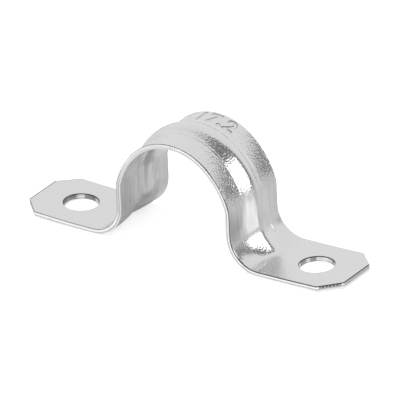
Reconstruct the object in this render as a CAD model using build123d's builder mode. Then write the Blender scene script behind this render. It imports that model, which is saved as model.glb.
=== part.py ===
import os
from math import cos, radians, sin

from build123d import *

# Two-hole omega clamp, pressed from one strip of steel sheet and then zinc plated.
# X runs along the strap, Y across it and Z up. The origin is in the middle of
# the footprint, on the plane that the feet are screwed down to.

# Pipe in the saddle
pipe_diameter = 17.2
pipe_clearance = 0.4

# Blank
sheet_thickness = 0.75
strap_width = 12.0
strap_length = 53.0
corner_cut = 2.8
edge_roll = 0.12

# Screw holes
hole_diameter = 5.2
hole_spacing = 39.7

# Folds
saddle_headroom = 16.3
foot_bend_radius = 4.25

# Stiffening bead, pressed outwards along the middle of the strap
bead_height = 0.64
bead_crest_radius = 2.95
bead_root_radius = 2.7
bead_run_out_angle = 40.0

# Lines of the fold that follow from these sizes
saddle_radius = (pipe_diameter + pipe_clearance) / 2
saddle_centre_z = saddle_headroom - saddle_radius
outer_leg_x = saddle_radius + sheet_thickness
bend_centre_x = outer_leg_x + foot_bend_radius
bend_centre_z = sheet_thickness + foot_bend_radius
foot_end_x = strap_length / 2
bead_core_depth = bead_crest_radius - bead_height
bead_run_out_length = 2 * bead_crest_radius
form_width = 1.5 * strap_width


def bend_point(radius, angle):
    """Gives a point of the foot bend, at an angle down from the leg."""
    return (bend_centre_x - radius * cos(radians(angle)), bend_centre_z - radius * sin(radians(angle)))


def mirrored(point):
    """Gives the same point on the other half of the strap."""
    return (-point[0], point[1])


def fold_face(depth):
    """Draws all that lies under the strap's surface, at a depth below its outer face."""
    leg_x = outer_leg_x - depth
    foot_z = sheet_thickness - depth
    bend_radius = foot_bend_radius + depth
    bend_middle = bend_point(bend_radius, 45)
    floor_z = -strap_width
    with BuildSketch(Plane.XZ) as face:
        with BuildLine():
            foot = Line((foot_end_x, foot_z), (bend_centre_x, foot_z))
            bend = ThreePointArc(foot @ 1, bend_middle, (leg_x, bend_centre_z))
            leg = Line(bend @ 1, (leg_x, saddle_centre_z))
            saddle = ThreePointArc(leg @ 1, (0, saddle_centre_z + leg_x), (-leg_x, saddle_centre_z))
            left_leg = Line(saddle @ 1, (-leg_x, bend_centre_z))
            left_bend = ThreePointArc(left_leg @ 1, mirrored(bend_middle), (-bend_centre_x, foot_z))
            left_foot = Line(left_bend @ 1, (-foot_end_x, foot_z))
            Polyline(left_foot @ 1, (-foot_end_x, floor_z), (foot_end_x, floor_z), foot @ 0)
        make_face()
    return face.sketch


def bead_path():
    """Draws the centre line of the bead's core, which leaves each foot bend and runs straight under the foot."""
    leg_x = outer_leg_x - bead_core_depth
    bend_radius = foot_bend_radius + bead_core_depth
    leave = bend_point(bend_radius, bead_run_out_angle)
    middle = bend_point(bend_radius, bead_run_out_angle / 2)
    end_x = leave[0] + bead_run_out_length * sin(radians(bead_run_out_angle))
    end_z = leave[1] - bead_run_out_length * cos(radians(bead_run_out_angle))
    with BuildLine(Plane.XZ) as path:
        run_out = Line((end_x, end_z), leave)
        bend = ThreePointArc(run_out @ 1, middle, (leg_x, bend_centre_z))
        leg = Line(bend @ 1, (leg_x, saddle_centre_z))
        saddle = ThreePointArc(leg @ 1, (0, saddle_centre_z + leg_x), (-leg_x, saddle_centre_z))
        left_leg = Line(saddle @ 1, (-leg_x, bend_centre_z))
        left_bend = ThreePointArc(left_leg @ 1, mirrored(middle), mirrored(leave))
        Line(left_bend @ 1, (-end_x, end_z))
    return path.wires()[0]


def pressed_form(depth):
    """Builds the solid under one face of the sheet, with the bead and its run-outs."""
    core_radius = bead_crest_radius - depth
    path = bead_path()
    with BuildPart() as form:
        extrude(fold_face(depth), amount=form_width / 2, both=True)
        with BuildSketch(Plane(origin=path @ 0, z_dir=path % 0)):
            Circle(core_radius)
        sweep(path=path)
        bead_root = form.edges().filter_by(lambda edge: edge.bounding_box().max.Y < strap_width / 2)
        bead_root = bead_root.filter_by(lambda edge: edge.bounding_box().min.Y > -strap_width / 2)
        fillet(bead_root, bead_root_radius + depth)
    return form.part


with BuildPart() as strap:
    add(pressed_form(0))
    with BuildSketch():
        Rectangle(strap_length, strap_width)
        chamfer(vertices(), corner_cut)
        with GridLocations(hole_spacing, 0, 2, 1):
            Circle(hole_diameter / 2, mode=Mode.SUBTRACT)
    extrude(amount=2 * saddle_headroom, mode=Mode.INTERSECT)
    blanked_edge = strap.edges(Select.NEW).filter_by(lambda edge: edge.center().Z > sheet_thickness / 2)
    outline_edge = blanked_edge.filter_by(lambda edge: not edge.is_closed)
    chamfer(outline_edge, edge_roll)
    add(pressed_form(sheet_thickness), mode=Mode.SUBTRACT)

os.makedirs("parts", exist_ok=True)
strap.part.label = "strap"
export_step(strap.part, "parts/strap.step")
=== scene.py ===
from math import atan2, cos, hypot, pi, radians, sin

import bmesh
import bpy
from bpy.props import FloatProperty, FloatVectorProperty, PointerProperty, StringProperty
from mathutils import Matrix, Vector


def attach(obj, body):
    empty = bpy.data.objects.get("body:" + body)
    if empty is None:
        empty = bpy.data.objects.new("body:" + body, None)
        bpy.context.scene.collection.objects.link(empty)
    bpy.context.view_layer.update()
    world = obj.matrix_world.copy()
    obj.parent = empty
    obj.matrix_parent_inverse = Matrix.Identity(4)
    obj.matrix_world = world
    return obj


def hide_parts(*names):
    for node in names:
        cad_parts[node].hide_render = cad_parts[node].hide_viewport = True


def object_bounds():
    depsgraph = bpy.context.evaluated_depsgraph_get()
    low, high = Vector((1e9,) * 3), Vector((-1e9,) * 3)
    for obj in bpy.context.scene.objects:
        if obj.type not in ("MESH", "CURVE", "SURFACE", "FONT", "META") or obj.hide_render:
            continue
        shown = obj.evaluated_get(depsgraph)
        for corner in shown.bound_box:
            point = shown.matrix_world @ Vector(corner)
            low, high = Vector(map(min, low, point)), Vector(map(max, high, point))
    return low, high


bl_info = {
    "name": "Omega clamp",
    "version": (1, 0, 0),
    "blender": (4, 5, 0),
    "location": "View3D > Sidebar > Omega Clamp",
    "description": "Folds and presses a two-hole pipe clamp from its flat blank and sets it in a studio",
    "category": "Object",
}

MM = 0.001
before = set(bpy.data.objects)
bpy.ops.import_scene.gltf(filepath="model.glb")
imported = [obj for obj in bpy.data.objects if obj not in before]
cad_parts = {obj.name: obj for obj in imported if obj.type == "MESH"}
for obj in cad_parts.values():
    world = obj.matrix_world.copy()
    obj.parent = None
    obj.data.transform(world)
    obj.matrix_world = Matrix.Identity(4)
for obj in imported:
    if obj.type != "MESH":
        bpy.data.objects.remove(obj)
cad_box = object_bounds()

# The rules that stamp, press and fold the flat blank, one math step a row: its name, its operation and its
# terms. A term that starts with a capital letter is an input of the tree. The blank lies with X along it,
# Y across it, its outer face at height 0 and its inner face one sheet thickness lower. A SMOOTHSTEP or
# LINEAR row maps its first term from the range of its next two terms to that of its last two, or to 0
# to 1.

# How deep the number is stamped, from the distance to its strokes. Only the outer face shows it.
STAMP_RULE = (
    ("wall", "SMOOTHSTEP", "to_stroke", 0.0, "Mark wall", 1.0, 0.0),
    ("outside", "GREATER_THAN", "height", -0.01 * MM),
    ("struck", "MULTIPLY", "wall", "outside"),
    ("stamped", "MULTIPLY", "struck", "Mark depth"),
)

# The fold, stretch by stretch from the crown to the foot. Each foot stands up a little until its screw
# pulls it flat.
FOLD_RULE = (
    ("half_sheet", "MULTIPLY", "Sheet thickness", 0.5),
    ("side", "SIGN", "along"),
    ("bend_length", "MULTIPLY", "Bend radius", pi / 2),
    ("run", "ABSOLUTE", "along"),
    ("crown_run", "MINIMUM", "run", "Crown length"),
    ("past_crown", "SUBTRACT", "run", "crown_run"),
    ("flank_run", "MINIMUM", "past_crown", "Flank length"),
    ("past_flank", "SUBTRACT", "past_crown", "flank_run"),
    ("shoulder_run", "MINIMUM", "past_flank", "Shoulder length"),
    ("past_shoulder", "SUBTRACT", "past_flank", "shoulder_run"),
    ("leg_run", "MINIMUM", "past_shoulder", "Leg length"),
    ("past_leg", "SUBTRACT", "past_shoulder", "leg_run"),
    ("bend_run", "MINIMUM", "past_leg", "bend_length"),
    ("foot_run", "SUBTRACT", "past_leg", "bend_run"),
    ("crown_angle", "DIVIDE", "crown_run", "Crown radius"),
    ("flank_turn", "DIVIDE", "flank_run", "Flank radius"),
    ("flank_angle", "ADD", "crown_angle", "flank_turn"),
    ("shoulder_turn", "DIVIDE", "shoulder_run", "Shoulder radius"),
    ("arch_angle", "ADD", "flank_angle", "shoulder_turn"),
    ("bend_angle", "DIVIDE", "bend_run", "Bend radius"),
    ("foot_lift", "LINEAR", "side", -1.0, 1.0, "Left foot lift", "Right foot lift"),
    ("foot_share", "DIVIDE", "foot_run", "Foot length"),
    ("foot_turn", "MULTIPLY", "foot_lift", "foot_share"),
    ("bent_back", "ADD", "bend_angle", "foot_turn"),
    ("lean_angle", "SUBTRACT", "arch_angle", "bent_back"),
)


def turn_rows(*names):
    """Gives the rows for the sine and the cosine of each angle named here."""
    waves = ("SINE", "COSINE")
    return tuple((f"{name}_{wave.lower()}", wave, f"{name}_angle") for name in names for wave in waves)


def die_line_rows(line, place):
    """Gives the rows for the height of the fine ridge that the edge of a die leaves along the strap."""
    return (
        (f"from_{line}", "SUBTRACT", "across", place),
        (f"{line}_share", "DIVIDE", f"from_{line}", "Die line width"),
        (f"{line}_power", "MULTIPLY", f"{line}_share", f"{line}_share"),
        (f"{line}_fall", "MULTIPLY", f"{line}_power", -4.0),
        (line, "EXPONENT", f"{line}_fall"),
    )


# The section of the pressed bead: a round crest that runs into a round root on each side. In each foot
# bend the crest leaves the bend and runs straight on until the foot comes up to it. On the legs, where the
# press tool has pulled the sheet, the bead is higher and lies further aside, and its root is wider. The
# root is widest in the foot bends. Fine ridges mark the edges of the dies.
BEAD_RULE = (
    ("shoulder_start", "ADD", "Crown length", "Flank length"),
    ("leg_start", "ADD", "shoulder_start", "Shoulder length"),
    ("bend_start", "ADD", "leg_start", "Leg length"),
    ("bend_end", "ADD", "bend_start", "bend_length"),
    ("bend_in", "SUBTRACT", "bend_start", "Fade"),
    ("bend_full", "ADD", "bend_start", "Fade"),
    ("in_bend", "SMOOTHSTEP", "run", "bend_in", "bend_full"),
    ("on_leg", "SMOOTHSTEP", "run", "shoulder_start", "bend_start"),
    ("past_leave", "SUBTRACT", "bend_angle", "Run-out angle"),
    ("run_out_turn", "MAXIMUM", "past_leave", 0.0),
    ("run_out_cosine", "COSINE", "run_out_turn"),
    ("hollow_radius", "SUBTRACT", "Bend radius", "half_sheet"),
    ("bead_full", "MULTIPLY_ADD", "Leg bead gain", "on_leg", "Bead height"),
    ("crest_from_bend", "SUBTRACT", "hollow_radius", "bead_full"),
    ("crest_line", "DIVIDE", "crest_from_bend", "run_out_cosine"),
    ("crest_over_foot", "SUBTRACT", "hollow_radius", "crest_line"),
    ("bead_here", "SMOOTH_MAX", "crest_over_foot", 0.0, "Run-out rounding"),
    ("offset_here", "MULTIPLY_ADD", "Bead drift", "on_leg", "Bead offset"),
    ("beside", "SUBTRACT", "across", "offset_here"),
    ("reach", "ABSOLUTE", "beside"),
    ("reach_squared", "MULTIPLY", "beside", "beside"),
    ("crest_radius", "ADD", "Bead crest radius", "height"),
    ("leg_growth", "SUBTRACT", "Leg root radius", "Bead root radius"),
    ("leg_root", "MULTIPLY_ADD", "leg_growth", "on_leg", "Bead root radius"),
    ("bend_growth", "SUBTRACT", "Bend root radius", "Leg root radius"),
    ("outer_root_radius", "MULTIPLY_ADD", "bend_growth", "in_bend", "leg_root"),
    ("root_radius", "SUBTRACT", "outer_root_radius", "height"),
    ("spread", "ADD", "crest_radius", "root_radius"),
    ("drop", "DIVIDE", "bead_here", "spread"),
    ("slope_cosine", "SUBTRACT", 1.0, "drop"),
    ("slope", "ARCCOSINE", "slope_cosine"),
    ("slope_sine", "SINE", "slope"),
    ("half_width", "MULTIPLY", "spread", "slope_sine"),
    ("crest_reach", "MULTIPLY", "crest_radius", "slope_sine"),
    ("crest_squared", "MULTIPLY", "crest_radius", "crest_radius"),
    ("crest_left", "SUBTRACT", "crest_squared", "reach_squared"),
    ("crest_kept", "MAXIMUM", "crest_left", 0.0),
    ("crest_rise", "SQRT", "crest_kept"),
    ("crest_level", "SUBTRACT", "bead_here", "crest_radius"),
    ("crest", "ADD", "crest_rise", "crest_level"),
    ("from_edge", "SUBTRACT", "half_width", "reach"),
    ("inside_edge", "MAXIMUM", "from_edge", 0.0),
    ("inside_squared", "MULTIPLY", "inside_edge", "inside_edge"),
    ("root_squared", "MULTIPLY", "root_radius", "root_radius"),
    ("root_left", "SUBTRACT", "root_squared", "inside_squared"),
    ("root_kept", "MAXIMUM", "root_left", 0.0),
    ("root_rise", "SQRT", "root_kept"),
    ("root", "SUBTRACT", "root_radius", "root_rise"),
    ("on_crest", "LESS_THAN", "reach", "crest_reach"),
    ("crest_over_root", "SUBTRACT", "crest", "root"),
    ("bead_level", "MULTIPLY_ADD", "crest_over_root", "on_crest", "root"),
    *die_line_rows("saddle_line", "Saddle die line"),
    ("off_leg", "SUBTRACT", 1.0, "on_leg"),
    ("saddle_ridge", "MULTIPLY", "saddle_line", "off_leg"),
    *die_line_rows("leg_line", "Leg die line"),
    ("line_out", "SMOOTHSTEP", "bend_angle", 0.6, 0.9),
    ("line_left", "SUBTRACT", "on_leg", "line_out"),
    ("line_kept", "MAXIMUM", "line_left", 0.0),
    ("ridges", "MULTIPLY_ADD", "leg_line", "line_kept", "saddle_ridge"),
    ("pressed", "MULTIPLY_ADD", "ridges", "Die line height", "bead_level"),
)

# How the bands beside the bead curl where the sheet is bent: hollow over the saddle, and the other way
# in the foot bends
CURL_RULE = (
    ("on_saddle", "SMOOTHSTEP", "run", "shoulder_start", "leg_start", 1.0, 0.0),
    ("bend_out", "SUBTRACT", "bend_end", "Fade"),
    ("before_foot", "SMOOTHSTEP", "run", "bend_out", "bend_end", 1.0, 0.0),
    ("bend_share", "MULTIPLY", "in_bend", "before_foot"),
    ("curl_share", "SUBTRACT", "on_saddle", "bend_share"),
    ("aside", "ABSOLUTE", "across"),
    ("on_band", "SMOOTH_MAX", "aside", "Band start", "Fade"),
    ("from_band", "SUBTRACT", "on_band", "Band middle"),
    ("from_band_squared", "MULTIPLY", "from_band", "from_band"),
    ("band_half", "SUBTRACT", "Band middle", "Band start"),
    ("band_half_squared", "MULTIPLY", "band_half", "band_half"),
    ("over_start", "SUBTRACT", "from_band_squared", "band_half_squared"),
    ("curl_height", "MULTIPLY", "over_start", "Curl"),
    ("curled", "MULTIPLY", "curl_height", "curl_share"),
)

# Where each point of the blank ends up. A foot that curves up is a shallow arc, so it reaches out by its
# run less a sixth of the square of its turn, and rises at half its turn.
PLACE_RULE = (
    ("sheet_level", "ADD", "height", "half_sheet"),
    ("press_level", "ADD", "sheet_level", "pressed"),
    ("curl_level", "ADD", "press_level", "curled"),
    ("level", "SUBTRACT", "curl_level", "stamped"),
    *turn_rows("crown", "flank", "arch", "bend", "lean"),
    ("flank_reach", "SUBTRACT", "flank_sine", "crown_sine"),
    ("shoulder_reach", "SUBTRACT", "arch_sine", "flank_sine"),
    ("bend_reach", "SUBTRACT", 1.0, "bend_cosine"),
    ("foot_turn_squared", "MULTIPLY", "foot_turn", "foot_turn"),
    ("reach_share", "MULTIPLY_ADD", "foot_turn_squared", -1 / 6, 1.0),
    ("foot_reach", "MULTIPLY", "foot_run", "reach_share"),
    ("x_crown", "MULTIPLY_ADD", "Crown radius", "crown_sine", "foot_reach"),
    ("x_flank", "MULTIPLY_ADD", "Flank radius", "flank_reach", "x_crown"),
    ("x_shoulder", "MULTIPLY_ADD", "Shoulder radius", "shoulder_reach", "x_flank"),
    ("x_bend", "MULTIPLY_ADD", "Bend radius", "bend_reach", "x_shoulder"),
    ("x_half", "MULTIPLY_ADD", "level", "lean_sine", "x_bend"),
    ("x", "MULTIPLY", "x_half", "side"),
    ("crown_drop", "SUBTRACT", "crown_cosine", 1.0),
    ("flank_drop", "SUBTRACT", "flank_cosine", "crown_cosine"),
    ("shoulder_drop", "SUBTRACT", "arch_cosine", "flank_cosine"),
    ("z_leg", "SUBTRACT", "Top height", "leg_run"),
    ("z_crown", "MULTIPLY_ADD", "Crown radius", "crown_drop", "z_leg"),
    ("z_flank", "MULTIPLY_ADD", "Flank radius", "flank_drop", "z_crown"),
    ("z_shoulder", "MULTIPLY_ADD", "Shoulder radius", "shoulder_drop", "z_flank"),
    ("bend_drop", "MULTIPLY", "Bend radius", "bend_sine"),
    ("z_bend", "SUBTRACT", "z_shoulder", "bend_drop"),
    ("mean_turn", "MULTIPLY", "foot_turn", 0.5),
    ("z_foot", "MULTIPLY_ADD", "foot_run", "mean_turn", "z_bend"),
    ("z", "MULTIPLY_ADD", "level", "lean_cosine", "z_foot"),
)


def band_rows(band, term, start, full_from, full_to, end):
    """Gives the rows for a share that is 1 from full_from to full_to and fades to 0 at start and end."""
    return (
        (f"{band}_start", "LINEAR", term, start, full_from),
        (f"{band}_end", "LINEAR", term, end, full_to),
        (band, "MULTIPLY", f"{band}_start", f"{band}_end"),
    )


# What covers the two faces. The grain is deepest over the crown. The die has flattened it on the far side
# of the bead, and dragging has flattened most of it on the legs and into the bends. The edge that blanking
# has rolled over carries a painted dark line of shade, darkest on its right half. The walls of the stamp's
# strokes carry painted shade, and so does a thin line round the end of the left foot. A MIX row blends its
# last two terms, which are colours.
SHEET_RULE = (
    ("run", "ABSOLUTE", "along"),
    *band_rows("on_leg", "run", 11.8 * MM, 12.8 * MM, 17.2 * MM, 20.0 * MM),
    ("crest_grain", "LINEAR", "across", -0.6 * MM, -0.1 * MM, 1.05, 0.35),
    ("band_grain", "LINEAR", "across", 2.0 * MM, 2.8 * MM, 0.0, 0.7),
    ("crown_grain", "LINEAR", "along", 6.4 * MM, 5.2 * MM, 1.0, 1.9),
    ("bead_grain", "MULTIPLY", "crest_grain", "crown_grain"),
    ("grain_share", "ADD", "bead_grain", "band_grain"),
    ("bend_grain", "LINEAR", "run", 22.0 * MM, 19.5 * MM),
    ("flattened", "MULTIPLY", "on_leg_start", "bend_grain"),
    ("leg_grain", "LINEAR", "flattened", 0.0, 1.0, 1.0, 0.35),
    ("grain_left", "MULTIPLY", "grain_share", "leg_grain"),
    ("grain_here", "MULTIPLY", "grain_left", "grain_depth"),
    ("grain_height", "MULTIPLY", "grain", "grain_here"),
    ("drag_here", "MULTIPLY", "on_leg", "drag_depth"),
    ("surface", "MULTIPLY_ADD", "drag", "drag_here", "grain_height"),
    ("roughness", "LINEAR", "on_leg", 0.0, 1.0, "face_roughness", "leg_roughness"),
    ("drag_lines", "LINEAR", "drag", 0.4, 0.6, 0.0, 0.5),
    ("streaks", "MULTIPLY", "drag_lines", "on_leg"),
    ("streaked_zinc", "MIX", "streaks", "zinc", "#B9B9B9"),
    # Painted shade: a dark line on the rolled edge, darker towards the right
    *band_rows("on_roll", "depth", -0.3 * MM, -0.2 * MM, -0.02 * MM, -0.004 * MM),
    ("worn_side", "LINEAR", "along", 1.0 * MM, 7.0 * MM),
    ("thin_zinc", "MIX", "worn_side", "#989898", "#262626"),
    ("to_left_end", "ADD", "foot_end", "along"),
    ("to_left_side", "SUBTRACT", "corner_reach", "across"),
    ("to_left_corner", "ADD", "to_left_end", "to_left_side"),
    ("to_left_rim", "MINIMUM", "to_left_end", "to_left_corner"),
    # Painted shade: a dark line along the rim round the end of the left foot
    ("left_burr", "LINEAR", "to_left_rim", 0.3 * MM, 0.18 * MM),
    ("rolled_zinc", "MIX", "on_roll", "streaked_zinc", "thin_zinc"),
    ("burred_zinc", "MIX", "left_burr", "rolled_zinc", "#7A7A7A"),
    # Painted shade on the walls of the stamped strokes
    *band_rows("stroke_wall", "struck", 0.05, 0.45, 0.55, 0.95),
    ("colour", "MIX", "stroke_wall", "burred_zinc", "#5C5C5C"),
)

# The feed of the press has nicked the cut edge over the left half of the saddle
NICK_RULE = (
    ("run", "ABSOLUTE", "along"),
    ("comb_turn", "MULTIPLY", "run", 2 * pi / (0.36 * MM)),
    ("comb", "SINE", "comb_turn"),
    *band_rows("nicks_span", "along", -13.0 * MM, -11.0 * MM, 0.8 * MM, 1.8 * MM),
    ("nicks", "LINEAR", "comb", 0.0, 0.8, 0.0, 0.8),
    ("nicked", "MULTIPLY", "nicks_span", "nicks"),
)

# The smooth part of the cut. The ends of the strap and its corners are sheared by a blunter tool, which
# leaves them greyer and, at the corners, combed.
CUT_RULE = (
    ("from_end", "SUBTRACT", "foot_end", "run"),
    ("at_end", "LINEAR", "from_end", 0.1 * MM, 0.05 * MM),
    ("from_corner", "SUBTRACT", "from_end", "corner_cut"),
    ("corner_start", "LINEAR", "from_corner", -0.25 * MM, -0.35 * MM),
    ("corner_end", "LINEAR", "from_end", 0.25 * MM, 0.35 * MM),
    ("at_corner", "MULTIPLY", "corner_start", "corner_end"),
    ("upper", "LINEAR", "depth", -0.42 * MM, -0.36 * MM),
    ("upper_corner", "MULTIPLY", "at_corner", "upper"),
    ("teeth", "LINEAR", "comb", -0.8, 0.4, 0.35, 1.0),
    ("combed", "MULTIPLY", "upper_corner", "teeth"),
    *band_rows("left_leg", "along", -19.0 * MM, -17.0 * MM, -12.0 * MM, -9.0 * MM),
    ("upper_leg", "MULTIPLY", "left_leg", "upper"),
    ("end_zinc", "MIX", "at_end", "#F6F6F6", "#CFCFCF"),
    ("corner_zinc", "MIX", "at_corner", "end_zinc", "#D2D2D2"),
    ("combed_zinc", "MIX", "combed", "corner_zinc", "#5E5E5E"),
    ("leg_zinc", "MIX", "upper_leg", "combed_zinc", "#C8C8C8"),
    ("nicked_zinc", "MIX", "nicked", "leg_zinc", "#BEBEBE"),
    # Painted shade: a dark line on the cut just under the rolled edge, over its right half
    ("under_roll", "LINEAR", "depth", -0.17 * MM, -0.13 * MM),
    ("worn_side", "LINEAR", "along", 3.0 * MM, 8.0 * MM, 0.0, 0.8),
    ("rolled_side", "MULTIPLY", "under_roll", "worn_side"),
    ("colour", "MIX", "rolled_side", "nicked_zinc", "#303030"),
)

# The torn part of the cut, which begins with a dark line
TORN_RULE = (
    *band_rows("line_here", "depth", -0.56 * MM, -0.52 * MM, -0.44 * MM, -0.4 * MM),
    ("off_nicks", "SUBTRACT", 1.0, "nicks_span"),
    ("line", "MULTIPLY", "line_here", "off_nicks"),
    ("lined_zinc", "MIX", "line", "#E4E4E4", "#A0A0A0"),
    ("colour", "MIX", "nicked", "lined_zinc", "#BEBEBE"),
)

# The wall of a screw hole: painted shade just under the rim, then scraped in bright and dull bands, and torn
# with a ragged border
HOLE_RULE = (
    # Painted shade on the wall just under the hole's rim
    ("lip", "LINEAR", "depth", -0.2 * MM, -0.12 * MM),
    ("ragged", "MULTIPLY_ADD", "tears", 0.35 * MM, "depth"),
    ("torn", "LINEAR", "ragged", -0.4 * MM, -0.55 * MM, 0.0, 0.5),
    ("dull_band", "LINEAR", "scrapes", 0.44, 0.54),
    ("scraped_zinc", "MIX", "dull_band", "#F6F6F6", "#A8A8A8"),
    ("torn_zinc", "MIX", "torn", "scraped_zinc", "#9C9C9C"),
    ("colour", "MIX", "lip", "torn_zinc", "#4A4A4A"),
)


def length(name, description, millimetres):
    """Gives a length that the user can set."""
    return FloatProperty(name=name, description=description, default=millimetres * MM, unit="LENGTH")


def angle(name, description, degrees):
    """Gives an angle that the user can set."""
    return FloatProperty(name=name, description=description, default=radians(degrees), subtype="ANGLE")


class OmegaClampSizes(bpy.types.PropertyGroup):
    """Sizes of the clamp, as its fold and its press tool give them"""

    sheet_thickness: length("Sheet thickness", "Thickness of the steel sheet", 0.75)
    strap_width: length("Strap width", "Width of the blanked strip", (cad_box[1].y - cad_box[0].y) / MM)
    strap_length: length("Strap length", "Length over both feet", (cad_box[1].x - cad_box[0].x) / MM)
    corner_cut: length("Corner cut", "Leg of the corner that is cut off each foot", 2.8)
    hole_diameter: length("Hole diameter", "Diameter of the screw holes", 5.2)
    hole_spacing: length("Hole spacing", "Distance between the middles of the screw holes", 39.7)
    saddle_radius: length("Saddle radius", "Inner radius of the saddle that goes over the pipe", 8.8)
    saddle_centre_height: length("Saddle centre height", "Height of the pipe's middle off the wall", 7.5)
    crown_radius: length("Crown radius", "Inner radius of the top of the saddle, as it springs back", 8.1)
    crown_angle: angle("Crown angle", "Lean of the sheet where crown and flank meet", 40)
    flank_angle: angle("Flank angle", "Lean of the sheet where flank and shoulder meet", 74)
    shoulder_radius: length("Shoulder radius", "Inner radius of the tight fold between flank and leg", 2.0)
    band_curl: length("Band curl", "How far the strap's edge stands off in a bend", 0.05)
    foot_bend_radius: length("Foot bend radius", "Inner radius of the folds between legs and feet", 4.25)
    right_foot_lift: angle("Right foot lift", "Slope of the right foot's end, not yet screwed down", 2.6)
    left_foot_lift: angle("Left foot lift", "Slope of the left foot's end, not yet screwed down", 4.2)
    bead_height: length("Bead height", "How far the stiffening bead stands out of the strap", 0.64)
    bead_crest_radius: length("Bead crest radius", "Radius of the bead's round crest, outside", 2.95)
    bead_root_radius: length("Bead root radius", "Radius of the hollow beside the bead, outside", 2.7)
    run_out_angle: angle("Run-out angle", "How far round a foot bend the bead's crest leaves it", 40)
    bead_offset: length("Bead offset", "How far the bead lies off the middle of the strap", 0.12)
    bead_drift: length("Bead drift", "How much further off it the bead lies on the legs", 0.25)
    leg_bead_gain: length("Leg bead gain", "How much higher the bead is on the legs and foot bends", 0.16)
    leg_root_radius: length("Leg root radius", "Radius of the hollow beside the bead on the legs", 9.0)
    bend_root_radius: length("Bend root radius", "Radius of the hollow beside the bead in the bends", 14.0)
    edge_roll: length("Edge roll", "Width of the outer edge that blanking rolls over", 0.12)
    mark: StringProperty(
        name="Size mark",
        description="Plain number stamped beside the bead: the pipe's diameter in millimetres",
        default="17.2",
    )
    mark_height: length("Mark height", "Type size of the stamped number", 3.5)
    mark_depth: length("Mark depth", "Depth of the stamped number", 0.09)


class OmegaClampFinish(bpy.types.PropertyGroup):
    """Colour of the plated sheet"""

    zinc: FloatVectorProperty(
        name="Zinc",
        description="Colour of the bright zinc on both faces, as sRGB",
        default=[213 / 255] * 3,
        subtype="COLOR_GAMMA",
        size=3,
    )


class OmegaClampStudio(bpy.types.PropertyGroup):
    """The studio that the clamp is shown in"""

    floor_colour: FloatVectorProperty(
        name="Floor",
        description="Colour of the floor, as sRGB",
        default=[245 / 255] * 3,
        subtype="COLOR_GAMMA",
        size=3,
    )


def linear(code):
    """Turns an sRGB hex code, or three sRGB values, into linear red, green, blue and alpha."""
    if isinstance(code, str):
        code = [int(code[i : i + 2], 16) / 255 for i in (1, 3, 5)]
    return [part / 12.92 if part <= 0.04045 else ((part + 0.055) / 1.055) ** 2.4 for part in code] + [1.0]


WHITE = linear("#FFFFFF")


def add_node(tree, kind, inputs=None, **settings):
    """Adds a node with its settings, and fills or links its inputs. Gives the node."""
    made = tree.nodes.new(kind)
    place = len(tree.nodes) - 1
    made.location = (190 * (place % 14), -230 * (place // 14))
    for name, value in settings.items():
        setattr(made, name, value)
    for key, value in (inputs or {}).items():
        if isinstance(value, bpy.types.NodeSocket):
            tree.links.new(value, made.inputs[key])
        else:
            made.inputs[key].default_value = value
    return made


def run_rule(tree, rule, known):
    """Adds the nodes of a rule, one step a row, and each step's result to the values known by name."""
    for name, operation, *terms in rule:
        values = [known.get(term, term) for term in terms]
        values = [linear(value) if isinstance(value, str) else value for value in values]
        kind, keys, settings, result = "ShaderNodeMath", (0, 1, 2), {"operation": operation}, 0
        if operation == "MIX":
            kind, keys, settings, result = "ShaderNodeMix", (0, 6, 7), {"data_type": "RGBA"}, 2
        elif operation in ("LINEAR", "SMOOTHSTEP"):
            kind, settings = "ShaderNodeMapRange", {"interpolation_type": operation}
            keys = ("Value", "From Min", "From Max", "To Min", "To Max")
        step = add_node(tree, kind, dict(zip(keys, values)), label=name, **settings)
        known[name] = step.outputs[result]


def cleared_nodes(owner):
    """Turns the nodes of a material or world on and takes the default ones out. Gives its tree."""
    owner.use_nodes = True
    owner.node_tree.nodes.clear()
    return owner.node_tree


def add_object(name, data):
    """Puts a mesh, lamp or camera in the scene."""
    made = bpy.data.objects.new(name, data)
    bpy.context.scene.collection.objects.link(made)
    return made


def stepped(start, *stretches):
    """Gives the places from start through each (end, step) in turn, evenly spaced in each stretch."""
    places = [start]
    for end, step in stretches:
        begin = places[-1]
        count = max(1, round((end - begin) / step))
        places += [begin + (end - begin) * (i + 1) / count for i in range(count)]
    return places


def fold_line(sizes):
    """Gives the radii, lengths and top of the sheet's middle line, and how far out the legs stand."""
    half = sizes.sheet_thickness / 2
    crown = sizes.crown_radius + half
    shoulder = sizes.shoulder_radius + half
    leg_x = sizes.saddle_radius + half
    top = sizes.saddle_centre_height + leg_x
    crown_sine, flank_sine = sin(sizes.crown_angle), sin(sizes.flank_angle)
    crown_cosine, flank_cosine = cos(sizes.crown_angle), cos(sizes.flank_angle)
    flank = (leg_x - crown * crown_sine - shoulder * (1 - flank_sine)) / (flank_sine - crown_sine)
    flank_drop = flank * (crown_cosine - flank_cosine)
    leg_top = top - crown * (1 - crown_cosine) - flank_drop - shoulder * flank_cosine
    line = {
        "Crown radius": crown,
        "Crown length": crown * sizes.crown_angle,
        "Flank radius": flank,
        "Flank length": flank * (sizes.flank_angle - sizes.crown_angle),
        "Shoulder radius": shoulder,
        "Shoulder length": shoulder * (pi / 2 - sizes.flank_angle),
        "Leg length": leg_top - sizes.sheet_thickness - sizes.foot_bend_radius,
        "Bend radius": sizes.foot_bend_radius + half,
        "Top height": top,
    }
    return line, leg_x


def foot_places(sizes):
    """Gives where a foot starts, where its hole is and where it ends on the blank."""
    line, leg_x = fold_line(sizes)
    bend = line["Bend radius"]
    start = sum(line[name] for name in line if name.endswith("length")) + bend * pi / 2
    to_blank = start - (leg_x + bend)
    return start, to_blank + sizes.hole_spacing / 2, to_blank + sizes.strap_length / 2


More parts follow.
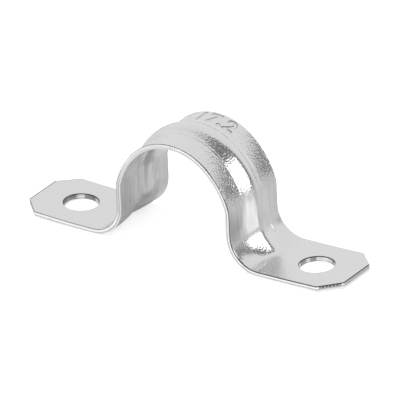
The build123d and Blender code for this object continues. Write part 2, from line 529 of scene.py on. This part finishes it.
def blank_face(sizes):
    """Draws one face of the flat blank as a mesh, with its cut corners and its screw holes."""
    inner_foot = 0.3 * MM
    coarse = 0.3 * MM
    ring_count = 10
    side = sizes.strap_width / 2
    start, hole_x, end = foot_places(sizes)
    join = start + inner_foot
    # The squares are finest along the die lines and under the stamped number
    columns = stepped(-join, (-3.4 * MM, 0.2 * MM), (5.2 * MM, 0.08 * MM), (join, 0.2 * MM))
    rows = stepped(
        -side,
        (-2.5 * MM, 0.25 * MM),
        (-2.0 * MM, 0.04 * MM),
        (2.4 * MM, 0.15 * MM),
        (5.7 * MM, 0.06 * MM),
        (side, 0.15 * MM),
    )
    face = bmesh.new()
    grid = [[face.verts.new((x, y, 0)) for y in rows] for x in columns]
    for near, far in zip(grid, grid[1:]):
        for i in range(len(rows) - 1):
            face.faces.new((near[i], far[i], far[i + 1], near[i + 1]))

    # Each foot is rings between its outline and its hole
    cut_x, cut_y = end - sizes.corner_cut, side - sizes.corner_cut
    corners = ((join, side), (cut_x, side), (end, cut_y), (end, -cut_y), (cut_x, -side), (join, -side))
    outline = [(join, y) for y in rows]
    for (x0, y0), (x1, y1) in zip(corners, corners[1:]):
        count = max(1, round(hypot(x1 - x0, y1 - y0) / coarse))
        outline += [(x0 + (x1 - x0) * i / count, y0 + (y1 - y0) * i / count) for i in range(1, count + 1)]
    outline.pop()
    radius = sizes.hole_diameter / 2
    turns = [atan2(y, x - hole_x) for x, y in outline]
    hole = [(hole_x + radius * cos(turn), radius * sin(turn)) for turn in turns]
    pairs = list(zip(outline, hole))
    for way in (1, -1):
        rings = []
        for ring in range(ring_count + 1):
            share = ring / ring_count
            places = [(x + (hx - x) * share, y + (hy - y) * share) for (x, y), (hx, hy) in pairs]
            rings.append([face.verts.new((way * x, y, 0)) for x, y in places])
        for outer, inner in zip(rings, rings[1:]):
            for i in range(len(outline)):
                face.faces.new((outer[i - 1], inner[i - 1], inner[i], outer[i]))
    same_place = 1e-7
    bmesh.ops.remove_doubles(face, verts=face.verts[:], dist=same_place)
    face.normal_update()
    bmesh.ops.reverse_faces(face, faces=[f for f in face.faces if f.normal.z < 0])
    return face


def rim_directions(face):
    """Gives the way out of the sheet for each vertex on the blank's outline and holes, mitred at corners."""
    sides = {}
    for edge in face.edges:
        if edge.is_boundary:
            loop = edge.link_loops[0]
            along = (loop.link_loop_next.vert.co - loop.vert.co).normalized()
            for vertex in edge.verts:
                sides.setdefault(vertex, []).append(Vector((along.y, -along.x, 0)))
    out = {}
    for vertex, (first, second) in sides.items():
        middle = (first + second).normalized()
        out[vertex] = middle / middle.dot(first)
    return out


# Zones of the blank's surface, and what covers each
FACE, SMOOTH_CUT, TORN_CUT, HOLE_WALL, INNER_FACE = range(5)
FINISHES = ("Face finish", "Cut finish", "Torn finish", "Hole finish", "Inner finish")


def blank_mesh(sizes):
    """Builds the closed flat blank: two faces, and a rim with its rolled edge, smooth cut and torn zone."""
    face = blank_face(sizes)
    out = rim_directions(face)
    thickness = sizes.sheet_thickness
    hole_x = foot_places(sizes)[1]
    hole_zone = 0.6 * sizes.hole_diameter
    hole_roll_share = 0.4
    hole_taper = 0.18 * MM
    roll_height = 0.8 * sizes.edge_roll
    roll_steps = 5
    # Each row of the rim is how far in from the outline, how deep, and the zone of the faces that lead to it
    rim = []
    for step in range(roll_steps + 1):
        turn = pi / 2 * step / roll_steps
        rim.append((sizes.edge_roll * (1 - sin(turn)), roll_height * (1 - cos(turn)), FACE))
    rim += [
        (0.0, 0.25 * thickness, SMOOTH_CUT),
        (0.0, 0.58 * thickness, SMOOTH_CUT),
        (0.02 * MM, 0.62 * thickness, TORN_CUT),
        (0.035 * MM, 0.8 * thickness, TORN_CUT),
        (0.03 * MM, thickness, TORN_CUT),
    ]
    last = len(rim) - 1
    solid = bmesh.new()
    zone = solid.faces.layers.int.new("cut_zone")

    def in_hole(vertex):
        return hypot(abs(vertex.co.x) - hole_x, vertex.co.y) < hole_zone

    def rim_place(vertex, row):
        inset, depth, _ = rim[row]
        if in_hole(vertex) and row <= roll_steps:
            inset, depth = inset * hole_roll_share, depth * hole_roll_share
        elif in_hole(vertex):
            inset -= hole_taper * depth / thickness
        place = vertex.co - out[vertex] * inset
        return (place.x, place.y, -depth)

    rings = {v: [solid.verts.new(rim_place(v, row)) for row in range(last + 1)] for v in out}
    top = {v: rings[v][0] if v in out else solid.verts.new(v.co) for v in face.verts}
    down = Vector((0, 0, -thickness))
    under = {v: rings[v][last] if v in out else solid.verts.new(v.co + down) for v in face.verts}
    for f in face.faces:
        solid.faces.new([top[v] for v in f.verts])
        inner = solid.faces.new([under[v] for v in reversed(f.verts)])
        inner[zone] = INNER_FACE
    for edge in face.edges:
        if not edge.is_boundary:
            continue
        loop = edge.link_loops[0]
        start, end = rings[loop.vert], rings[loop.link_loop_next.vert]
        for row in range(1, last + 1):
            row_zone = rim[row][2]
            quad = solid.faces.new((end[row - 1], start[row - 1], start[row], end[row]))
            quad[zone] = HOLE_WALL if row_zone != FACE and in_hole(loop.vert) else row_zone
            if row_zone == TORN_CUT and rim[row - 1][2] == SMOOTH_CUT:
                solid.edges.get((start[row - 1], end[row - 1])).smooth = False
        solid.edges.get((start[last], end[last])).smooth = False
    for f in solid.faces:
        f.smooth = True
    mesh = bpy.data.meshes.new("blank")
    solid.to_mesh(mesh)
    solid.free()
    face.free()
    return mesh


def fold_tree():
    """Builds the node tree that stamps, presses and folds the flat blank."""
    tree = bpy.data.node_groups.new("fold_and_press", "GeometryNodeTree")
    tree.is_modifier = True
    rule = STAMP_RULE + FOLD_RULE + BEAD_RULE + CURL_RULE + PLACE_RULE
    kinds = {
        "Geometry": "Geometry",
        "Size mark": "String",
        "Mark place": "Vector",
        "Mark height": "Float",
        **{term: "Float" for row in rule for term in row[2:] if str(term)[0].isupper()},
        **dict.fromkeys(FINISHES, "Material"),
    }
    subtypes = dict.fromkeys(("Run-out angle", "Right foot lift", "Left foot lift"), "ANGLE")
    subtypes["Curl"] = "NONE"
    for name, kind in kinds.items():
        socket = tree.interface.new_socket(name, in_out="INPUT", socket_type=f"NodeSocket{kind}")
        if kind == "Float":
            socket.subtype = subtypes.get(name, "DISTANCE")
    tree.interface.new_socket("Geometry", in_out="OUTPUT", socket_type="NodeSocketGeometry")

    given = add_node(tree, "NodeGroupInput").outputs
    known = {name: given[name] for name in kinds}
    position = add_node(tree, "GeometryNodeInputPosition").outputs["Position"]
    blank = add_node(tree, "ShaderNodeSeparateXYZ", {"Vector": position}).outputs
    known.update(along=blank["X"], across=blank["Y"], height=blank["Z"])

    # The stamped number, laid flat over the blank
    text = {"String": given["Size mark"], "Size": given["Mark height"], "Character Spacing": 1.08}
    glyphs = add_node(tree, "GeometryNodeStringToCurves", text, align_x="CENTER", align_y="MIDDLE")
    strokes = add_node(tree, "GeometryNodeRealizeInstances", {"Geometry": glyphs.outputs["Curve Instances"]})
    filled = add_node(tree, "GeometryNodeFillCurve", {"Curve": strokes.outputs["Geometry"]})
    placing = {"Geometry": filled.outputs["Mesh"], "Translation": given["Mark place"]}
    laid = add_node(tree, "GeometryNodeTransform", placing).outputs["Geometry"]
    flat = add_node(tree, "ShaderNodeCombineXYZ", {"X": blank["X"], "Y": blank["Y"]}).outputs["Vector"]
    nearest = {0: laid, "Sample Position": flat}
    to_stroke = add_node(tree, "GeometryNodeProximity", nearest, target_element="FACES")
    known["to_stroke"] = to_stroke.outputs["Distance"]
    run_rule(tree, rule, known)

    shape = given["Geometry"]
    kept_values = (("blank_place", position, "FLOAT_VECTOR"), ("struck", known["struck"], "FLOAT"))
    for name, value, kind in kept_values:
        kept = {"Geometry": shape, "Name": name, "Value": value}
        shape = add_node(tree, "GeometryNodeStoreNamedAttribute", kept, data_type=kind).outputs["Geometry"]
    folded = add_node(tree, "ShaderNodeCombineXYZ", {"X": known["x"], "Y": blank["Y"], "Z": known["z"]})
    moving = {"Geometry": shape, "Position": folded.outputs["Vector"]}
    shape = add_node(tree, "GeometryNodeSetPosition", moving).outputs["Geometry"]
    shape = add_node(tree, "GeometryNodeRealizeInstances", {"Geometry": shape}).outputs["Geometry"]
    zone = add_node(tree, "GeometryNodeInputNamedAttribute", {"Name": "cut_zone"}, data_type="INT")
    for number, name in enumerate(FINISHES):
        same = {2: zone.outputs["Attribute"], 3: number}
        chosen = add_node(tree, "FunctionNodeCompare", same, data_type="INT", operation="EQUAL")
        cover = {"Geometry": shape, "Selection": chosen.outputs[0], "Material": given[name]}
        shape = add_node(tree, "GeometryNodeSetMaterial", cover).outputs["Geometry"]
    add_node(tree, "NodeGroupOutput", {"Geometry": shape})
    return tree


def new_material(name, roughness, metallic=1.0):
    """Makes a node material. Gives it with its shader and the blank's coordinates by name."""
    material = bpy.data.materials.new(name)
    tree = cleared_nodes(material)
    place = add_node(tree, "ShaderNodeAttribute", attribute_name="blank_place").outputs["Vector"]
    blank = add_node(tree, "ShaderNodeSeparateXYZ", {"Vector": place}).outputs
    shader = add_node(tree, "ShaderNodeBsdfPrincipled", {"Metallic": metallic, "Roughness": roughness})
    add_node(tree, "ShaderNodeOutputMaterial", {"Surface": shader.outputs[0]})
    known = {"place": place, "along": blank["X"], "across": blank["Y"], "depth": blank["Z"]}
    return material, shader, known


def colour_by_rule(material, shader, rule, known):
    """Adds the nodes of a rule to a material and links the colour that it gives."""
    run_rule(material.node_tree, rule, known)
    material.node_tree.links.new(known["colour"], shader.inputs["Base Color"])
    return material


def sheet_material(name, sizes, finish, looks):
    """Zinc plating on rolled sheet. The legs carry drag marks along the strap, where the press tool slid."""
    material, shader, known = new_material(name, looks["face_roughness"])
    tree = material.node_tree
    stretch = (1 / (9 * MM), 1 / (0.45 * MM), 1 / (1 * MM))
    stretched = add_node(tree, "ShaderNodeMapping", {"Vector": known["place"], "Scale": stretch}).outputs[0]
    grain = {"Vector": known["place"], "Scale": 1 / (0.3 * MM), "Detail": 1.0, "Roughness": 0.5}
    drag = {"Vector": stretched, "Scale": 1.0, "Detail": 3.0, "Roughness": 0.6}
    known.update(
        looks,
        grain=add_node(tree, "ShaderNodeTexNoise", grain).outputs["Fac"],
        drag=add_node(tree, "ShaderNodeTexNoise", drag).outputs["Fac"],
        struck=add_node(tree, "ShaderNodeAttribute", attribute_name="struck").outputs["Fac"],
        zinc=linear(finish.zinc),
        foot_end=foot_places(sizes)[2],
        corner_reach=sizes.strap_width / 2 - sizes.corner_cut,
    )
    colour_by_rule(material, shader, SHEET_RULE, known)
    bump = add_node(tree, "ShaderNodeBump", {"Height": known["surface"], "Strength": 1.0, "Distance": 1.0})
    tree.links.new(bump.outputs[0], shader.inputs["Normal"])
    tree.links.new(known["roughness"], shader.inputs["Roughness"])
    return material


def zinc_face_material(sizes, finish):
    """Bright zinc plating on the outer face."""
    # Zinc is a thin bright mirror that follows the grain of the sheet below it, so reflections are clear
    # but break up into specks at their borders. The grain is drawn a little coarser than the real one.
    looks = dict(face_roughness=0.17, leg_roughness=0.32, grain_depth=0.034 * MM, drag_depth=0.025 * MM)
    return sheet_material("bright_zinc_plating", sizes, finish, looks)


def inner_face_material(sizes, finish):
    """Bright zinc plating on the inner face."""
    # This face slid over the press tool, which leaves it duller than the outer one.
    looks = dict(face_roughness=0.28, leg_roughness=0.34, grain_depth=0.03 * MM, drag_depth=0.05 * MM)
    return sheet_material("dragged_zinc_plating", sizes, finish, looks)


def cut_edge_material(sizes):
    """Smooth part of the sheared edge, plated."""
    # The die burnishes the first half of the cut, so it is brighter than the faces.
    material, shader, known = new_material("burnished_cut_zinc", roughness=0.3, metallic=0.5)
    known.update(foot_end=foot_places(sizes)[2], corner_cut=sizes.corner_cut)
    return colour_by_rule(material, shader, NICK_RULE + CUT_RULE, known)


def torn_edge_material():
    """Rough part of the sheared edge, plated."""
    # The rest of the cut tears, which leaves a dull grey grain under the zinc.
    material, shader, known = new_material("torn_cut_zinc", roughness=0.55, metallic=0.5)
    return colour_by_rule(material, shader, NICK_RULE + TORN_RULE, known)


def hole_wall_material():
    """Wall of the punched screw holes, plated."""
    # The punch scrapes the wall bright in upright bands and tears it towards the inner face.
    material, shader, known = new_material("punched_hole_zinc", roughness=0.35)
    tree = material.node_tree
    flat = {"Vector": known["place"], "Scale": (1.0, 1.0, 0.0)}
    flat_place = add_node(tree, "ShaderNodeMapping", flat).outputs["Vector"]
    tears = {"Vector": known["place"], "Scale": 1 / (0.9 * MM), "Detail": 2.0, "Roughness": 0.5}
    scrapes = {"Vector": flat_place, "Scale": 1 / (1.6 * MM), "Detail": 1.0, "Roughness": 0.5}
    known["tears"] = add_node(tree, "ShaderNodeTexNoise", tears).outputs["Fac"]
    known["scrapes"] = add_node(tree, "ShaderNodeTexNoise", scrapes).outputs["Fac"]
    return colour_by_rule(material, shader, HOLE_RULE, known)


class OMEGACLAMP_OT_strap(bpy.types.Operator):
    """Cut the blank, stamp it, press its bead and fold it into the strap"""

    bl_idname = "omega_clamp.strap"
    bl_label = "Build Strap"

    def execute(self, context):
        sizes = context.scene.omega_clamp_sizes
        finish = context.scene.omega_clamp_finish
        blank = add_object("strap_blank", blank_mesh(sizes))
        modifier = blank.modifiers.new("fold_and_press", "NODES")
        modifier.node_group = fold_tree()
        foot_start, _, foot_end = foot_places(sizes)
        band_middle = 4.3 * MM
        # Each input takes the user's size of the same name, unless it is worked out or set below
        values = {
            **{item.name: getattr(sizes, item.identifier) for item in sizes.bl_rna.properties},
            **fold_line(sizes)[0],
            "Foot length": foot_end - foot_start,
            "Run-out rounding": 0.05 * MM,
            "Saddle die line": -2.25 * MM,
            "Leg die line": 3.3 * MM,
            "Die line width": 0.16 * MM,
            "Die line height": 0.045 * MM,
            "Band start": 2.4 * MM,
            "Band middle": band_middle,
            "Curl": sizes.band_curl / (sizes.strap_width / 2 - band_middle) ** 2,
            "Fade": 0.6 * MM,
            "Mark place": (0.9 * MM, 4.15 * MM, 0.0),
            "Mark wall": 0.14 * MM,
            "Face finish": zinc_face_material(sizes, finish),
            "Cut finish": cut_edge_material(sizes),
            "Torn finish": torn_edge_material(),
            "Hole finish": hole_wall_material(),
            "Inner finish": inner_face_material(sizes, finish),
        }
        for item in modifier.node_group.interface.items_tree:
            if item.in_out == "INPUT" and item.name != "Geometry":
                modifier[item.identifier] = values[item.name]
        depsgraph = context.evaluated_depsgraph_get()
        mesh = bpy.data.meshes.new_from_object(
            blank.evaluated_get(depsgraph), preserve_all_data_layers=True, depsgraph=depsgraph
        )
        if not mesh.polygons:
            raise RuntimeError("the fold tree gave no mesh")
        bpy.data.objects.remove(blank)
        strap = add_object("strap_pressed", mesh)
        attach(strap, "root")
        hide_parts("strap")
        return {"FINISHED"}


# The floor and the backdrop look white to the camera, in mirrors and through glass, whatever light they
# give to the rest. The floor also shines a little in mirrors.
SEEN_RULE = (
    ("direct", "ADD", "Is Camera Ray", "Is Glossy Ray"),
    ("seen", "ADD", "direct", "Is Transmission Ray"),
)
FLOOR_RULE = (
    *SEEN_RULE,
    ("to_camera", "MULTIPLY", "Is Camera Ray", 0.56),
    ("glow", "MULTIPLY_ADD", "seen", 0.04, "to_camera"),
    ("shine_share", "MULTIPLY", "Is Glossy Ray", 0.24),
)
BACKDROP_RULE = (
    *SEEN_RULE,
    ("glow", "LINEAR", "seen", 0.0, 1.0, 0.35, 1.0),
)


def known_by_ray(tree, rule):
    """Adds the nodes of a rule on kinds of rays. Gives its results by name."""
    known = dict(add_node(tree, "ShaderNodeLightPath").outputs.items())
    run_rule(tree, rule, known)
    return known


def lay_floor(colour):
    """Lays the pale floor just below the feet."""
    # Smooth white paper is matt and even, so all that shows on it is the clamp's soft shadow.
    reach = 4.0
    low = -0.02 * MM
    corners = [(-reach, -reach, low), (reach, -reach, low), (reach, reach, low), (-reach, reach, low)]
    mesh = bpy.data.meshes.new("floor")
    mesh.from_pydata(corners, [], [(0, 1, 2, 3)])
    material = bpy.data.materials.new("floor_paper")
    mesh.materials.append(material)
    tree = cleared_nodes(material)
    known = known_by_ray(tree, FLOOR_RULE)
    paper = add_node(tree, "ShaderNodeBsdfDiffuse", {"Color": linear(colour)})
    glow = add_node(tree, "ShaderNodeEmission", {"Color": WHITE, "Strength": known["glow"]})
    lit = add_node(tree, "ShaderNodeAddShader", {0: paper.outputs[0], 1: glow.outputs[0]})
    shine = add_node(tree, "ShaderNodeBsdfGlossy", {"Color": WHITE, "Roughness": 0.12})
    surface = {0: known["shine_share"], 1: lit.outputs[0], 2: shine.outputs[0]}
    surface = add_node(tree, "ShaderNodeMixShader", surface).outputs[0]
    add_node(tree, "ShaderNodeOutputMaterial", {"Surface": surface})
    add_object("floor", mesh)


def hang_card(name, corners, distance, strength, rim_strength=None):
    """Hangs a glowing card that only mirrors show, and that fades to its rim where that has a strength."""
    # A corner is (azimuth, elevation) in degrees, where azimuth 0 is +Y and 90 is +X
    points = []
    for azimuth, elevation in corners:
        a, e = radians(azimuth), radians(elevation)
        points.append(Vector((sin(a) * cos(e), cos(a) * cos(e), sin(e))) * distance)
    middle = sum(points, Vector()).normalized() * distance
    count = len(points)
    mesh = bpy.data.meshes.new(name)
    mesh.from_pydata([*points, middle], [], [(i, (i + 1) % count, count) for i in range(count)])
    levels = [strength if rim_strength is None else rim_strength] * count + [strength]
    mesh.attributes.new("glow", "FLOAT", "POINT").data.foreach_set("value", levels)
    material = bpy.data.materials.new(name)
    mesh.materials.append(material)
    tree = cleared_nodes(material)
    level = add_node(tree, "ShaderNodeAttribute", attribute_name="glow").outputs["Fac"]
    glow = add_node(tree, "ShaderNodeEmission", {"Color": WHITE, "Strength": level})
    add_node(tree, "ShaderNodeOutputMaterial", {"Surface": glow.outputs[0]})
    card = add_object(name, mesh)
    for ray in ("camera", "shadow", "transmission", "diffuse"):
        setattr(card, f"visible_{ray}", False)


def hang_lamp(name, size, watts, place):
    """Hangs a round lamp that points at the clamp and shows in no mirror."""
    data = bpy.data.lights.new(name, "AREA")
    data.shape = "DISK"
    data.size = size
    data.energy = watts
    lamp = add_object(name, data)
    lamp.location = place
    lamp.rotation_mode = "QUATERNION"
    lamp.rotation_quaternion = lamp.location.to_track_quat("Z", "Y")
    lamp.visible_glossy = False


def hang_backdrop(scene):
    """Puts the white backdrop round the scene."""
    scene.world = bpy.data.worlds.new("studio")
    tree = cleared_nodes(scene.world)
    glow = known_by_ray(tree, BACKDROP_RULE)["glow"]
    sky = add_node(tree, "ShaderNodeBackground", {"Color": WHITE, "Strength": glow})
    add_node(tree, "ShaderNodeOutputWorld", {"Surface": sky.outputs[0]})


def place_camera(scene):
    """Sets the camera up at the photograph's angle."""
    azimuth, elevation, roll = radians(34.97), radians(26.43), radians(-2.61)
    distance = 1.972
    sensor = 36.0
    picture_size = 400
    pixels_per_metre = 7152.0
    # Where the clamp's origin lies in the picture, in pixels from its upper left corner
    origin_x, origin_y = 198.62, 238.2
    back = Vector((sin(azimuth) * cos(elevation), -cos(azimuth) * cos(elevation), sin(elevation)))
    level = Vector((cos(azimuth), sin(azimuth), 0))
    upright = back.cross(level)
    right = cos(roll) * level + sin(roll) * upright
    up = cos(roll) * upright - sin(roll) * level
    aside = (picture_size / 2 - origin_x) / pixels_per_metre
    above = (origin_y - picture_size / 2) / pixels_per_metre
    place = right * aside + up * above + back * distance
    data = bpy.data.cameras.new("camera")
    data.sensor_width = sensor
    data.lens = sensor * pixels_per_metre * distance / picture_size
    data.clip_start, data.clip_end = 0.05, 50
    scene.camera = add_object("camera", data)
    turn = Matrix((right, up, back)).transposed().to_4x4()
    scene.camera.matrix_world = Matrix.Translation(place) @ turn


class OMEGACLAMP_OT_stage(bpy.types.Operator):
    """Lay the pale floor, hang the soft lights and set up the camera"""

    bl_idname = "omega_clamp.stage"
    bl_label = "Set Stage"

    def execute(self, context):
        scene = context.scene
        lay_floor(scene.omega_clamp_studio.floor_colour)
        # Softbox behind on the right, and the unlit part of the ceiling above it
        softbox = ((55, 8.5), (54, 16), (50, 38), (75, 42), (110, 42), (110, 7.5))
        hang_card("softbox", softbox, distance=1.5, strength=3.0)
        unlit_left = ((36, 2), (36, 20), (35, 33), (33, 42), (31, 50), (26, 60), (16, 72))
        unlit_right = ((60, 88), (112, 72), (118, 46), (118, 2))
        hang_card("unlit_wall", unlit_left + unlit_right, distance=3.2, strength=0.24)
        # The ceiling darkens towards it
        dim_near = ((-120, 65), (-90, 62), (-60, 63), (-30, 64), (0, 62))
        dim_far = ((40, 55), (80, 53), (120, 56), (160, 62), (-160, 66))
        hang_card("dim_ceiling", dim_near + dim_far, distance=3.6, strength=0.5, rim_strength=1.0)
        # Unlit part of the room on the near left, which the rolled edges mirror
        corner = ((-165, 20), (-165, 62), (-95, 62), (-95, 20))
        hang_card("dark_corner", corner, distance=1.5, strength=0.1)
        hang_lamp("overhead_lamp", size=1.2, watts=12, place=(-0.5, -0.35, 1.4))
        # Low in front, for the cut edges
        hang_lamp("front_lamp", size=0.8, watts=14, place=(0.4, -1.5, 0.35))
        hang_backdrop(scene)
        place_camera(scene)
        scene.view_settings.view_transform = "Standard"
        return {"FINISHED"}


class OMEGACLAMP_PT_panel(bpy.types.Panel):
    """Steps and values of the clamp"""

    bl_label = "Omega Clamp"
    bl_idname = "OMEGACLAMP_PT_panel"
    bl_space_type = "VIEW_3D"
    bl_region_type = "UI"
    bl_category = "Omega Clamp"

    def draw(self, context):
        for group, kind in GROUPS.items():
            box = self.layout.box()
            for name in kind.__annotations__:
                box.prop(getattr(context.scene, group), name)
        for step in OPERATORS:
            self.layout.operator(step.bl_idname)


GROUPS = {
    "omega_clamp_sizes": OmegaClampSizes,
    "omega_clamp_finish": OmegaClampFinish,
    "omega_clamp_studio": OmegaClampStudio,
}
OPERATORS = (OMEGACLAMP_OT_strap, OMEGACLAMP_OT_stage)
CLASSES = (*GROUPS.values(), *OPERATORS, OMEGACLAMP_PT_panel)


def register():
    """Registers the classes and puts the values on the scene."""
    for item in CLASSES:
        bpy.utils.register_class(item)
    for group, kind in GROUPS.items():
        setattr(bpy.types.Scene, group, PointerProperty(type=kind))


def unregister():
    """Takes the values off the scene and unregisters the classes."""
    for group in GROUPS:
        delattr(bpy.types.Scene, group)
    for item in reversed(CLASSES):
        bpy.utils.unregister_class(item)


def main():
    register()
    bpy.ops.omega_clamp.strap()
    bpy.ops.omega_clamp.stage()


if __name__ == "__main__":
    main()
